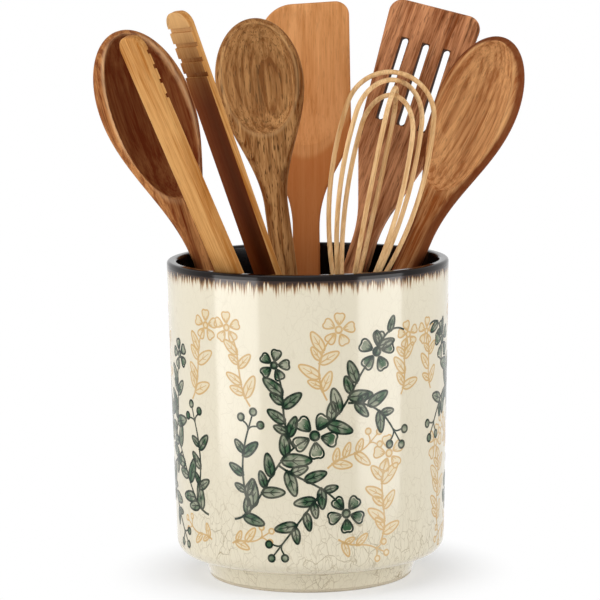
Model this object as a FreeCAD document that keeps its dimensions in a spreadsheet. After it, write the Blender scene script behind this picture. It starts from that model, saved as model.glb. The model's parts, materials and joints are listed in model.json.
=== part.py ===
"""Stoneware utensil crock with its seven loose wooden utensils.

Lengths are in millimetres, angles in degrees. The origin is the centre of the foot ring where it
meets the table, +Z is up and the front faces -Y. Each utensil is modelled standing on its butt end
along its own +Z with its front face toward its own -Y, and is then leaned into the crock.
"""
import FreeCAD, Part
import math
import os

import Sketcher
from FreeCAD import Placement, Rotation, Vector

CROCK = {
    "crock_height": 181.0,
    "rim_radius": 80.0,
    "wall": 5.6,
    "lip_rounding": 1.7,
    "wall_taper": 3.8,
    "base_corner_rise": 4.2,
    "base_corner_rounding": 8.0,
    "base_overhang": 13.5,
    "foot_height": 11.2,
    "foot_step": 1.7,
    "foot_taper": 3.5,
    "foot_ring_width": 9.0,
    "foot_rounding": 0.8,
    "recess_height": 6.0,
    "floor_height": 17.0,
    "floor_rounding": 8.0,
    "glaze": 0.8,
    "dark_band": 3.2,
    "dry_foot": 2.0,
    "seat_gap": 0.3,
}

SPOONS = {
    "left_spoon": {
        "length": 318.5, "width": 56.0, "depth": 12.5, "tip": 47.0, "flare": 96.0,
        "handle_width": 13.5, "handle_depth": 11.0, "lip": 1.8, "bowl_depth": 13.0,
        "bowl_length": 103.0, "bowl_top": 3.0,
        "foot_x": 1.5, "foot_y": -13.5, "rim_angle": 155.0, "rim_inset": 7.2, "facing_angle": 20.0,
    },
    "round_spoon": {
        "length": 301.3, "width": 50.0, "depth": 12.0, "tip": 35.3, "flare": 72.0,
        "handle_width": 13.5, "handle_depth": 10.5, "lip": 1.4, "bowl_depth": 11.0,
        "bowl_length": 62.8, "bowl_top": 2.5,
        "foot_x": 5.9, "foot_y": 6.5, "rim_angle": 150.3, "rim_inset": 58.3, "facing_angle": 0.0,
    },
    "right_spoon": {
        "length": 311.0, "width": 50.0, "depth": 12.0, "tip": 42.0, "flare": 82.0,
        "handle_width": 15.0, "handle_depth": 11.5, "lip": 1.6, "bowl_depth": 12.0,
        "bowl_length": 92.0, "bowl_top": 3.0,
        "foot_x": -11.0, "foot_y": 19.0, "rim_angle": 23.2, "rim_inset": 7.9, "facing_angle": -28.0,
    },
}

TURNERS = {
    "solid_turner": {
        "length": 306.8, "slant": 3.0, "width": 52.0, "waist": 54.0, "blade": 82.0, "shoulder": 36.0,
        "neck": 15.5, "butt": 19.0, "depth": 9.0, "tip_depth": 4.2, "edge_rounding": 1.6,
        "left_corner": 20.0, "right_corner": 8.0,
        "foot_x": -1.2, "foot_y": 54.5, "rim_angle": 90.6, "rim_inset": 6.0, "facing_angle": 0.0,
    },
    "slotted_turner": {
        "length": 319.3, "slant": 2.0, "width": 56.5, "waist": 46.0, "blade": 84.0, "shoulder": 50.0,
        "neck": 13.5, "butt": 18.0, "depth": 9.0, "tip_depth": 4.2, "edge_rounding": 1.6,
        "left_corner": 8.0, "right_corner": 8.0,
        "foot_x": -22.2, "foot_y": 36.0, "rim_angle": 60.9, "rim_inset": 7.2, "facing_angle": -16.0,
    },
}

TURNER_DETAILS = {
    "scoop_depth": 3.2,
    "scoop_length": 85.0,
    "scoop_width": 58.0,
    "slot_width": 4.6,
    "slot_length": 50.0,
    "slot_spacing": 13.0,
    "slot_margin": 23.3,
}

TONGS = {
    "length": 319.0, "width": 20.5, "depth": 4.6, "opening_angle": 2.19, "heel_gap": 6.2,
    "groove_pitch": 8.7, "groove_width": 2.6, "groove_depth": 1.3, "groove_margin": 9.0,
    "tip_rounding": 8.0, "edge_rounding": 1.4, "wedge_start": 4.0, "wedge_length": 26.0,
    "joint_gap": 0.8,
    "foot_x": 25.5, "foot_y": -16.0, "rim_angle": -128.6, "rim_inset": 20.6, "facing_angle": 39.1,
}

WHISK = {
    "handle_length": 140.5, "handle_radius": 8.8, "butt_radius": 7.4, "neck_radius": 7.8,
    "collar_radius": 9.2, "wire": 2.7, "leg_radius": 6.0, "leg_seat": 12.0, "leg_gap": 0.2,
    "leg_bend": 12.0, "leg_lean_angle": 25.0, "side_radius": 200.0, "side_end_angle": 7.0, "loop_step": 3.7,
    "foot_x": -7.3, "foot_y": -53.0, "rim_angle": -57.1, "rim_inset": 22.6, "facing_angle": -8.0,
}

LOOP_COUNT = 4
GROOVE_COUNT = 4
SLOT_COUNT = 3

doc = FreeCAD.newDocument("utensil_crock")
sheet = doc.addObject("Spreadsheet::Sheet", "Sizes")


def fill_sheet():
    """Writes every driving size into the sheet, one alias each."""
    groups = {"": CROCK, "turner_": TURNER_DETAILS, "tongs_": TONGS, "whisk_": WHISK}
    for table in (SPOONS, TURNERS):
        groups.update({node + "_": sizes for node, sizes in table.items()})
    row = 0
    for prefix, sizes in groups.items():
        for name, value in sizes.items():
            row += 1
            sheet.set(f"A{row}", prefix + name)
            sheet.set(f"B{row}", str(value))
            sheet.setAlias(f"B{row}", prefix + name)
    doc.recompute()


def cell(name):
    """The expression that reads one size from the sheet."""
    return "Sizes." + name


def value(expression):
    """The number an expression on the sheet comes to."""
    return float(sheet.evalExpression(expression))


def size(name):
    return value(cell(name))


def bind(item, **expressions):
    """Ties properties of a feature to expressions on the sheet; __ stands for a dot."""
    for name, expression in expressions.items():
        item.setExpression(name.replace("__", "."), expression)


def new_body(node):
    body = doc.addObject("PartDesign::Body", node)
    body.Label = node
    return body


def new_sketch(body, role, name):
    """A sketch on one of the body's own origin planes."""
    plane = next(item for item in body.Origin.OriginFeatures if item.Role == role)
    sketch = body.newObject("Sketcher::SketchObject", name)
    sketch.AttachmentSupport = [(plane, "")]
    sketch.MapMode = "FlatFace"
    return sketch


def round_corner(before, corner, after, radius):
    """Tangent points and arc that round one corner, and whether the outline turns left there."""
    to_before = (before - corner).normalize()
    to_after = (after - corner).normalize()
    half = to_before.getAngle(to_after) / 2
    reach = radius / math.tan(half)
    start, end = corner + to_before * reach, corner + to_after * reach
    centre = corner + (to_before + to_after).normalize() * (radius / math.sin(half))
    left = to_before.cross(to_after).z < 0
    first, last = (start, end) if left else (end, start)
    angles = [math.atan2(p.y - centre.y, p.x - centre.x) for p in (first, last)]
    arc = Part.ArcOfCircle(Part.Circle(centre, Vector(0, 0, 1), radius), *angles)
    return start, end, arc, left


def hold_point(sketch, geometry, position, tag, terms):
    """Dimensions a point of the sketch from the sketch's origin by two expressions."""
    for kind, axis, term in (("DistanceX", -2, terms[0]), ("DistanceY", -1, terms[1])):
        if term == "0":
            sketch.addConstraint(Sketcher.Constraint("PointOnObject", geometry, position, axis))
            continue
        name = f"{tag}_{kind[-1].lower()}"
        index = sketch.addConstraint(
            Sketcher.Constraint(kind, -1, 1, geometry, position, value(term)))
        sketch.renameConstraint(index, name)
        sketch.setExpression("Constraints." + name, term)


def draw_outline(sketch, corners, tag="corner"):
    """Closes an outline through corners given as expressions (x, y) or (x, y, rounding)."""
    points = [Vector(value(corner[0]), value(corner[1]), 0) for corner in corners]
    count = len(corners)
    rounds = {}
    for i, corner in enumerate(corners):
        if len(corner) == 3:
            rounds[i] = round_corner(points[i - 1], points[i], points[(i + 1) % count],
                                     value(corner[2]))
    sides = []
    for i in range(count):
        j = (i + 1) % count
        start = rounds[i][1] if i in rounds else points[i]
        end = rounds[j][0] if j in rounds else points[j]
        sides.append(sketch.addGeometry(Part.LineSegment(start, end), False))
    for i, corner in enumerate(corners):
        before, after = sides[i - 1], sides[i]
        if i not in rounds:
            sketch.addConstraint(Sketcher.Constraint("Coincident", before, 2, after, 1))
            hold_point(sketch, after, 1, f"{tag}{i}", corner)
            continue
        arc = sketch.addGeometry(rounds[i][2], False)
        first, last = (1, 2) if rounds[i][3] else (2, 1)
        sketch.addConstraint(Sketcher.Constraint("Tangent", before, 2, arc, first))
        sketch.addConstraint(Sketcher.Constraint("Tangent", arc, last, after, 1))
        mark = sketch.addGeometry(Part.Point(points[i]), True)
        sketch.addConstraint(Sketcher.Constraint("PointOnObject", mark, 1, before))
        sketch.addConstraint(Sketcher.Constraint("PointOnObject", mark, 1, after))
        hold_point(sketch, mark, 1, f"{tag}{i}", corner)
        index = sketch.addConstraint(Sketcher.Constraint("Radius", arc, value(corner[2])))
        sketch.renameConstraint(index, f"{tag}{i}_rounding")
        sketch.setExpression(f"Constraints.{tag}{i}_rounding", corner[2])


def draw_circle(sketch, offset, radius):
    """One circle centred on the sketch's X axis."""
    shape = Part.Circle(Vector(value(offset), 0, 0), Vector(0, 0, 1), value(radius))
    circle = sketch.addGeometry(shape, False)
    hold_point(sketch, circle, 3, "centre", (offset, "0"))
    index = sketch.addConstraint(Sketcher.Constraint("Radius", circle, value(radius)))
    sketch.renameConstraint(index, "radius")
    sketch.setExpression("Constraints.radius", radius)
    doc.recompute()


def revolve(node, corners):
    """A turned body: the outline (radius, height) revolved about its own Z axis."""
    body = new_body(node)
    sketch = new_sketch(body, "XZ_Plane", node + "_outline")
    draw_outline(sketch, corners)
    doc.recompute()
    turned = body.newObject("PartDesign::Revolution", node + "_turned")
    turned.Profile = sketch
    turned.ReferenceAxis = (sketch, ["V_Axis"])
    turned.Angle = 360
    doc.recompute()
    return body


def pad(body, sketch, name, depth):
    """A pad of the sketch, half to each side of its plane."""
    feature = body.newObject("PartDesign::Pad", name)
    feature.Profile = sketch
    feature.SideType = "Symmetric"
    bind(feature, Length=depth)
    doc.recompute()
    return feature


def pocket_through(body, sketch, name):
    """A pocket of the sketch right through the body, both ways from its plane."""
    feature = body.newObject("PartDesign::Pocket", name)
    feature.Profile = sketch
    feature.SideType = "Symmetric"
    feature.Type = "ThroughAll"
    doc.recompute()
    return feature


def fillet(body, base, name, chosen, radius):
    """Rounds the edges of the base feature that the test picks."""
    names = [f"Edge{i}" for i, edge in enumerate(base.Shape.Edges, 1) if chosen(edge)]
    feature = body.newObject("PartDesign::Fillet", name)
    feature.Base = (base, names)
    bind(feature, Radius=radius)
    doc.recompute()
    return feature


def lean_into_crock(prefix, pieces):
    """Leans a utensil from its foot point on the floor to its place at the rim.

    The pieces are (object, place within the utensil) pairs; together they come to rest just clear
    of the floor.
    """
    angle = math.radians(size(prefix + "rim_angle"))
    reach = size("rim_radius") - size("wall") - size(prefix + "rim_inset")
    rim = Vector(reach * math.cos(angle), reach * math.sin(angle), size("crock_height"))
    floor = size("floor_height") + size("seat_gap")
    foot = Vector(size(prefix + "foot_x"), size(prefix + "foot_y"), floor)
    axis = (rim - foot).normalize()
    turn = math.radians(size(prefix + "facing_angle"))
    back = Vector(-math.sin(turn), math.cos(turn), 0)
    turned = Rotation(back.cross(axis), back, axis, "ZYX")

    def place(point):
        for item, within in pieces:
            item.Placement = Placement(point, turned).multiply(within)
        doc.recompute()
    place(foot)
    lowest = min(item.Shape.optimalBoundingBox(True, False).ZMin for item, _ in pieces)
    place(foot + axis * ((floor - lowest) / axis.z))


def make_crock():
    """The pot and its two glaze coats; neighbouring outlines share the corners where they meet."""
    rim, wall, coat = cell("rim_radius"), cell("wall"), cell("glaze")
    height, floor, foot = cell("crock_height"), cell("floor_height"), cell("foot_height")
    dry, ring, recess = cell("dry_foot"), cell("foot_ring_width"), cell("recess_height")
    base = f"({rim} - {cell('wall_taper')})"
    edge = f"({base} - {cell('base_overhang')})"
    foot_top = f"({edge} - {cell('foot_step')})"
    foot_end = f"({foot_top} - {cell('foot_taper')})"
    corner = f"({foot} + {cell('base_corner_rise')})"
    band = f"({height} - {cell('dark_band')})"
    share = f"(1 - {cell('dark_band')} / ({height} - {corner}))"
    band_radius = f"({base} + {cell('wall_taper')} * {share})"
    dry_radius = f"({foot_end} + {cell('foot_taper')} * {dry} / {foot})"
    bore, bore_end = f"({rim} - {wall})", f"({base} - {wall} - 1)"
    corner_round, lip = cell("base_corner_rounding"), cell("lip_rounding")
    floor_round, foot_round = cell("floor_rounding"), cell("foot_rounding")

    under_crackle = [
        (f"{dry_radius} - {coat}", dry),
        (f"{foot_top} - {coat}", f"{foot} + {coat}"),
        (f"{edge} - {coat}", f"{foot} + {coat}"),
        (f"{base} - {coat}", f"{corner} + {coat}", corner_round),
        (f"{band_radius} - {coat}", band),
    ]
    under_liner = [
        (f"{rim} - {coat}", f"{height} - {coat}", f"{lip} - {coat}"),
        (f"{bore} + {coat}", f"{height} - {coat}", f"{lip} - {coat}"),
        (f"{bore_end} + {coat}", f"{floor} - {coat}", f"{floor_round} + {coat}"),
        ("0", f"{floor} - {coat}"),
    ]
    underside = [
        ("0", recess),
        (f"{foot_end} - {ring} - 2", recess, "2"),
        (f"{foot_end} - {ring}", "0", foot_round),
        (f"{foot_end}", "0", foot_round),
        (dry_radius, dry),
    ]
    revolve("stoneware_body", under_crackle + under_liner + underside)
    crackle_face = [
        (band_radius, band),
        (base, corner, corner_round),
        (edge, foot),
        (foot_top, foot),
        (dry_radius, dry),
    ]
    revolve("crackle_glaze", under_crackle + crackle_face)
    liner_face = [
        ("0", floor),
        (bore_end, floor, floor_round),
        (bore, height, lip),
        (rim, height, lip),
        (band_radius, band),
    ]
    revolve("liner_glaze", [under_crackle[-1]] + under_liner + liner_face)


def ellipse_section(name, along, half_width, half_depth):
    """One cross-section of a carved form, square to its length."""
    section = doc.addObject("Part::Ellipse", name)
    bind(section, MajorRadius=half_width, MinorRadius=half_depth, Placement__Base__z=along)
    return section


def loft(name, sections):
    """A solid drawn smoothly through cross-sections."""
    solid = doc.addObject("Part::Loft", name)
    solid.Sections = sections
    solid.Solid = True
    return solid


def make_spoon(node):
    """A carved spoon: lofted blank, front sliced flat over the head, bowl hollowed out."""
    prefix = node + "_"
    length, width, depth = cell(prefix + "length"), cell(prefix + "width"), cell(prefix + "depth")
    grip = f"({cell(prefix + 'handle_width')} / 2)"
    grip_depth = f"({cell(prefix + 'handle_depth')} / 2)"
    tip, flare = cell(prefix + "tip"), cell(prefix + "flare")
    widest = f"({length} - {tip})"
    neck = f"({widest} - {flare})"

    butt, swell = f"({grip_depth} * 0.8)", f"({grip} * 1.1)"
    start = ellipse_section(prefix + "grip_start", butt, swell, grip_depth)
    finish = ellipse_section(prefix + "grip_finish", f"{neck} - {flare} * 0.25", grip, grip_depth)
    sections = [finish]
    for i, part in enumerate((0, 0.25, 0.5, 0.75)):
        share = f"{(1 - math.cos(math.pi * part)) / 2:.4f}"
        sections.append(ellipse_section(
            f"{prefix}flare{i}", f"{neck} + {flare} * {part}",
            f"{grip} + ({width} / 2 - {grip}) * {share}",
            f"{grip_depth} + ({depth} - {grip_depth}) * {share}"))
    for turn in range(0, 90, 18):
        sections.append(ellipse_section(
            f"{prefix}head{turn}", f"{widest} + {tip} * sin({turn} deg)",
            f"{width} / 2 * cos({turn} deg)", f"{depth} * cos({turn} deg)"))
    point = doc.addObject("Part::Vertex", prefix + "tip_point")
    bind(point, Z=length)
    sections.append(point)
    dome = doc.addObject("Part::Ellipsoid", prefix + "butt")
    dome.Angle1, dome.Angle2, dome.Angle3 = -90, 0, 360
    bind(dome, Radius1=butt, Radius2=swell, Radius3=grip_depth, Placement__Base__z=butt)
    whole = doc.addObject("Part::MultiFuse", prefix + "whole")
    whole.Shapes = [dome, loft(prefix + "handle", [start, finish]), loft(prefix + "head", sections)]

    face = f"({grip_depth} + 0.4)"
    slice_box = doc.addObject("Part::Box", prefix + "slice")
    bind(slice_box, Length=f"{width} * 2", Width=f"{depth} * 2", Height=length,
         Placement__Base__x=f"-{width}", Placement__Base__y=f"-{face} - {depth} * 2",
         Placement__Base__z=f"{length} / 2")
    flat = doc.addObject("Part::Cut", prefix + "flat")
    flat.Base, flat.Tool = whole, slice_box

    face_width = f"({width} / 2 * sqrt(1 - ({face} / {depth}) ^ 2))"
    hollow = doc.addObject("Part::Ellipsoid", prefix + "hollow")
    hollow.Angle1, hollow.Angle2, hollow.Angle3 = -90, 90, 360
    bind(hollow, Radius1=f"{cell(prefix + 'bowl_length')} / 2",
         Radius2=f"{face_width} - {cell(prefix + 'lip')}", Radius3=cell(prefix + "bowl_depth"),
         Placement__Base__y=f"-{face}",
         Placement__Base__z=f"{length} - {cell(prefix + 'bowl_top')}"
                            f" - {cell(prefix + 'bowl_length')} / 2")
    spoon = doc.addObject("Part::Cut", node)
    spoon.Base, spoon.Tool = flat, hollow
    spoon.Label = node
    doc.recompute()
    lean_into_crock(prefix, [(spoon, Placement())])


def make_turner(node):
    """A turner: sawn outline, thinned toward its edge from the back, corners rounded over."""
    prefix = node + "_"
    length, width, depth = cell(prefix + "length"), cell(prefix + "width"), cell(prefix + "depth")
    half, waist, neck, butt = [f"({cell(prefix + name)} / 2)"
                               for name in ("width", "waist", "neck", "butt")]
    slant, tip_depth = cell(prefix + "slant"), cell(prefix + "tip_depth")
    shoulder = f"({length} - {cell(prefix + 'blade')})"
    throat = f"({shoulder} - {cell(prefix + 'shoulder')})"
    left_corner, right_corner = cell(prefix + "left_corner"), cell(prefix + "right_corner")

    body = new_body(node)
    plan = new_sketch(body, "XZ_Plane", prefix + "plan")
    draw_outline(plan, [
        (f"-{butt}", "0", f"{butt} * 0.8"),
        (butt, "0", f"{butt} * 0.8"),
        (neck, throat, f"{width} * 1.2"),
        (waist, shoulder, f"{width} * 0.8"),
        (half, f"{length} + min(0; {slant})", right_corner),
        (f"-{half}", f"{length} - max(0; {slant})", left_corner),
        (f"-{waist}", shoulder, f"{width} * 0.8"),
        (f"-{neck}", throat, f"{width} * 1.2"),
    ])
    doc.recompute()
    pad(body, plan, prefix + "board", depth)

    side = new_sketch(body, "YZ_Plane", prefix + "side")
    draw_outline(side, [
        (f"{depth} / 2", throat),
        (f"{depth} / 2 + 5", throat),
        (f"{depth} / 2 + 5", f"{length} + 5"),
        (f"{tip_depth} - {depth} / 2", f"{length} + 5"),
    ])
    doc.recompute()
    thinned = pocket_through(body, side, prefix + "thinned")
    fillet(body, thinned, prefix + "eased",
           lambda edge: abs(edge.tangentAt(edge.FirstParameter).y) < 0.3,
           cell(prefix + "edge_rounding"))
    return body


def make_solid_turner():
    """The turner with a shallow scoop, a slice of a wide ellipsoid, across its blade."""
    body = make_turner("solid_turner")
    length, depth = cell("solid_turner_length"), cell("solid_turner_depth")
    scoop_depth = cell("turner_scoop_depth")
    scoop = body.newObject("PartDesign::SubtractiveEllipsoid", "solid_turner_scoop")
    scoop.Angle1, scoop.Angle2, scoop.Angle3 = -90, 90, 360
    bind(scoop, Radius1=f"{cell('turner_scoop_length')} * 0.75",
         Radius2=f"{cell('turner_scoop_width')} * 0.75", Radius3=f"{scoop_depth} * 4",
         Placement__Base__y=f"-{depth} / 2 - {scoop_depth} * 3",
         Placement__Base__z=f"{length} - {cell('turner_scoop_length')} * 0.5")
    doc.recompute()
    lean_into_crock("solid_turner_", [(body, Placement())])


def make_slotted_turner():
    """The turner with a row of round-ended slots through its blade."""
    body = make_turner("slotted_turner")
    wide, spacing = cell("turner_slot_width"), cell("turner_slot_spacing")
    top = f"({cell('slotted_turner_length')} - {cell('turner_slot_margin')})"
    bottom = f"({top} - {cell('turner_slot_length')})"
    slots = new_sketch(body, "XZ_Plane", "slotted_turner_slots")
    middle = (SLOT_COUNT - 1) / 2
    for i in range(SLOT_COUNT):
        left = f"{spacing} * {i - middle} - {wide} / 2"
        right = f"{spacing} * {i - middle} + {wide} / 2"
        end = f"{wide} * 0.49"
        draw_outline(slots, [(left, bottom, end), (right, bottom, end),
                             (right, top, end), (left, top, end)], f"slot{i}_")
    doc.recompute()
    pocket_through(body, slots, "slotted_turner_cuts")
    lean_into_crock("slotted_turner_", [(body, Placement())])


def make_tongs():
    """Two strips set against a wedge at the heel, opening upward, grooved across inside their tips."""
    length, depth, width = cell("tongs_length"), cell("tongs_depth"), cell("tongs_width")
    pitch, wide = cell("tongs_groove_pitch"), cell("tongs_groove_width")
    inner, outer = f"({cell('tongs_heel_gap')} / 2)", f"({cell('tongs_heel_gap')} / 2 + {depth})"
    sunk = f"({inner} + {cell('tongs_groove_depth')})"
    corners = [(outer, "0"), (outer, length), (inner, length)]
    for i in range(GROOVE_COUNT):
        top = f"({length} - {cell('tongs_groove_margin')} - {pitch} * {i})"
        bottom = f"({top} - {wide})"
        corners += [(inner, top), (sunk, top), (sunk, bottom), (inner, bottom)]
    corners.append((inner, "0"))

    arms = []
    opened = Placement(Vector(), Rotation(Vector(0, 1, 0), size("tongs_opening_angle")))
    for node, turn in (("tongs_left_arm", 180), ("tongs_right_arm", 0)):
        body = new_body(node)
        profile = new_sketch(body, "XZ_Plane", node + "_profile")
        draw_outline(profile, corners)
        doc.recompute()
        strip = pad(body, profile, node + "_strip", width)
        limit = size("tongs_length") - 0.01
        tip = fillet(body, strip, node + "_tip",
                     lambda edge: all(v.Z > limit for v in edge.Vertexes)
                     and abs(edge.tangentAt(edge.FirstParameter).x) > 0.9,
                     cell("tongs_tip_rounding"))
        outside = size("tongs_heel_gap") / 2 + size("tongs_depth") - 0.01
        fillet(body, tip, node + "_eased",
               lambda edge: edge.CenterOfMass.x > outside, cell("tongs_edge_rounding"))
        arms.append((body, Placement(Vector(), Rotation(Vector(0, 0, 1), turn)).multiply(opened)))

    wedge = new_body("tongs_heel")
    start = cell("tongs_wedge_start")
    end = f"({start} + {cell('tongs_wedge_length')})"
    slope = f"tan({cell('tongs_opening_angle')} * 1 deg)"
    clear = f"({inner} - {cell('tongs_joint_gap')})"
    low, high = f"({clear} + {start} * {slope})", f"({clear} + {end} * {slope})"
    profile = new_sketch(wedge, "XZ_Plane", "tongs_heel_profile")
    draw_outline(profile, [(f"-{low}", start), (low, start), (high, end), (f"-{high}", end)])
    doc.recompute()
    pad(wedge, profile, "tongs_heel_block", width)
    lean_into_crock("tongs_", [(wedge, Placement())] + arms)


def loop_path(step):
    """Half-profile numbers of one whisk loop: bend, long side arc and closing top arc."""
    lean, end = math.radians(size("whisk_leg_lean_angle")), math.radians(size("whisk_side_end_angle"))
    bend = size("whisk_leg_bend")
    shorten = size("whisk_loop_step") * step / (math.sin(lean) + math.sin(end))
    side = size("whisk_side_radius") - shorten
    top_of_handle = size("whisk_handle_length")
    seat = Vector(size("whisk_leg_radius"), top_of_handle - size("whisk_leg_seat"), 0)
    leave = Vector(seat.x, top_of_handle, 0)
    bend_centre = leave + Vector(bend, 0, 0)

    def bend_at(angle):
        return bend_centre + Vector(-math.cos(angle), math.sin(angle), 0) * bend
    start = bend_at(lean)
    side_centre = start - Vector(math.cos(lean), -math.sin(lean), 0) * side

    def side_at(angle):
        return side_centre + Vector(math.cos(angle), -math.sin(angle), 0) * side
    finish = side_at(-end)
    top = finish.x / math.cos(end)
    crown = Vector(0, finish.y - top * math.sin(end) + top, 0)
    return [seat, leave, bend_at(lean / 2), start, side_at((lean - end) / 2), finish, crown]


def make_whisk():
    """A turned handle with a ring of holes, and wire loops whose ends sit in them."""
    length, leg = cell("whisk_handle_length"), cell("whisk_leg_radius")
    handle = revolve("whisk_handle", [
        ("0", "0"),
        (cell("whisk_butt_radius"), "0", "3"),
        (cell("whisk_handle_radius"), f"{length} * 0.35", "60"),
        (cell("whisk_neck_radius"), f"{length} * 0.8", "40"),
        (cell("whisk_collar_radius"), f"{length} - 8", "10"),
        (cell("whisk_collar_radius"), length, "1.5"),
        ("0", length),
    ])
    holes = new_sketch(handle, "XY_Plane", "whisk_handle_hole")
    bind(holes, AttachmentOffset__Base__z=length)
    draw_circle(holes, leg, f"{cell('whisk_wire')} / 2 + {cell('whisk_leg_gap')}")
    bored = handle.newObject("PartDesign::Pocket", "whisk_handle_bored")
    bored.Profile = holes
    bind(bored, Length=f"{cell('whisk_leg_seat')} + {cell('whisk_leg_gap')}")
    doc.recompute()
    ring = handle.newObject("PartDesign::PolarPattern", "whisk_handle_ring")
    ring.Originals = [bored]
    ring.Axis = (holes, ["N_Axis"])
    ring.Angle = 360
    ring.Occurrences = LOOP_COUNT * 2
    handle.Tip = ring
    doc.recompute()

    pieces = [(handle, Placement())]
    for step in range(LOOP_COUNT):
        spin = Rotation(Vector(0, 0, 1), step * 180 / LOOP_COUNT)
        pieces.append((make_loop(step), Placement(Vector(), spin)))
    lean_into_crock("whisk_", pieces)


def make_loop(step):
    """One loop: a round wire swept along line and arcs, mirror-equal about its axis."""
    node = f"whisk_loop_{step + 1}"
    body = new_body(node)
    seat, leave, bend, start, side, finish, crown = loop_path(step)

    def mirrored(point):
        return Vector(-point.x, point.y, 0)
    spine = new_sketch(body, "XZ_Plane", node + "_spine")
    spine.addGeometry([
        Part.LineSegment(seat, leave),
        Part.Arc(leave, bend, start),
        Part.Arc(start, side, finish),
        Part.Arc(finish, crown, mirrored(finish)),
        Part.Arc(mirrored(finish), mirrored(side), mirrored(start)),
        Part.Arc(mirrored(start), mirrored(bend), mirrored(leave)),
        Part.LineSegment(mirrored(leave), mirrored(seat)),
    ], False)
    wire = new_sketch(body, "XY_Plane", node + "_wire")
    seat_height = f"{cell('whisk_handle_length')} - {cell('whisk_leg_seat')}"
    bind(wire, AttachmentOffset__Base__z=seat_height)
    draw_circle(wire, cell("whisk_leg_radius"), f"{cell('whisk_wire')} / 2")
    pipe = body.newObject("PartDesign::AdditivePipe", node + "_bent")
    pipe.Profile = wire
    pipe.Spine = (spine, [f"Edge{i}" for i in range(1, 8)])
    doc.recompute()
    return body


def check_and_write():
    """Stops on any feature that failed, then writes each labelled piece to its own file."""
    bad = [item.Name for item in doc.Objects if "Invalid" in item.State or "Error" in item.State]
    if bad:
        raise RuntimeError(f"features failed: {bad}")
    os.makedirs("parts", exist_ok=True)
    nodes = ["stoneware_body", "crackle_glaze", "liner_glaze", *SPOONS, *TURNERS,
             "tongs_heel", "tongs_left_arm", "tongs_right_arm", "whisk_handle",
             *[f"whisk_loop_{step + 1}" for step in range(LOOP_COUNT)]]
    for node in nodes:
        shape = doc.getObjectsByLabel(node)[0].Shape
        if shape.isNull() or not shape.isValid() or len(shape.Solids) != 1:
            raise RuntimeError(f"{node} is not one sound solid")
        shape.exportStep(f"parts/{node}.step")


fill_sheet()
make_crock()
for spoon_node in SPOONS:
    make_spoon(spoon_node)
make_solid_turner()
make_slotted_turner()
make_tongs()
make_whisk()
check_and_write()
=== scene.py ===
"""Dresses the utensil crock: glaze, painted sprays, carved spoons and wood finishes, on a white stage.

Lengths in the tables are millimetres, as in the part's source; meshes are in metres.
"""

import json
import math
from types import SimpleNamespace

import bmesh
import bpy
import numpy as np
from bpy.props import FloatProperty, FloatVectorProperty, IntProperty, PointerProperty
from mathutils import Matrix, Vector


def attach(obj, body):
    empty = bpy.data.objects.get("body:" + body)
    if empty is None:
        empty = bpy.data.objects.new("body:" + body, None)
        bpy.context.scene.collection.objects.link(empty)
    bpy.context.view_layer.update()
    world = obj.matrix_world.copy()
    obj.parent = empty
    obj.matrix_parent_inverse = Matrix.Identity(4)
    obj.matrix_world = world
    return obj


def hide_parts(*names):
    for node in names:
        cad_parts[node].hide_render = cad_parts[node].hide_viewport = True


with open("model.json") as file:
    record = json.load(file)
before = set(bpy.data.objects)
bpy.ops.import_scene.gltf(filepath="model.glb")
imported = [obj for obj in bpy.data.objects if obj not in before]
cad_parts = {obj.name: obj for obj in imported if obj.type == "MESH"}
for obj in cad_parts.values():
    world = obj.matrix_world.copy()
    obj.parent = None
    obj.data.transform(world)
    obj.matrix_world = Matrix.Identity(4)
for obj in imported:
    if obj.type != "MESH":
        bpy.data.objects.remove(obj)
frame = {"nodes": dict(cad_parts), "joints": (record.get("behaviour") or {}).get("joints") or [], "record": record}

bl_info = {
    "name": "Utensil Crock",
    "version": (1, 0, 0),
    "blender": (4, 5, 0),
    "location": "View3D > Sidebar > Crock",
    "description": "Builds a glazed crock with its wooden utensils",
    "category": "Add Mesh",
}

MM = 0.001
AXES = {joint["child"]: np.array(joint["axis"]) for joint in frame["joints"] if joint["type"] == "slide"}

SPOONS = {
    "left_spoon": SimpleNamespace(
        length=318.5, width=56.0, depth=12.5, tip=47.0, flare=96.0, grip=(13.5, 11.0),
        lip=1.8, bowl_depth=13.0, bowl_length=103.0, bowl_top=3.0, neck_lip=0.15),
    "round_spoon": SimpleNamespace(
        length=301.3, width=50.0, depth=12.0, tip=35.3, flare=72.0, grip=(13.5, 10.5),
        lip=1.4, bowl_depth=11.0, bowl_length=62.8, bowl_top=2.5, neck_lip=1.0),
    "right_spoon": SimpleNamespace(
        length=311.0, width=50.0, depth=12.0, tip=42.0, flare=82.0, grip=(15.0, 11.5),
        lip=1.6, bowl_depth=12.0, bowl_length=92.0, bowl_top=3.0, neck_lip=0.15),
}

# Point on the crock's floor that each utensil's axis passes through, and the turn of its face.
STANDS = {
    "left_spoon": ((1.5, -13.5, 17.3), 20.0),
    "round_spoon": ((5.9, 6.5, 17.3), 0.0),
    "right_spoon": ((-11.0, 19.0, 17.3), -28.0),
    "solid_turner": ((-1.2, 54.5, 17.3), 0.0),
    "slotted_turner": ((-22.2, 36.0, 17.3), -16.0),
    "tongs": ((25.5, -16.0, 17.3), 39.1),
    "whisk": ((-7.3, -53.0, 17.3), -8.0),
}

GRAIN_TONES = ("Pale", "Dark", "Vein")
GRAIN_FIGURE = ("Ring", "Rings", "Wander", "Veins", "Pores")
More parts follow.
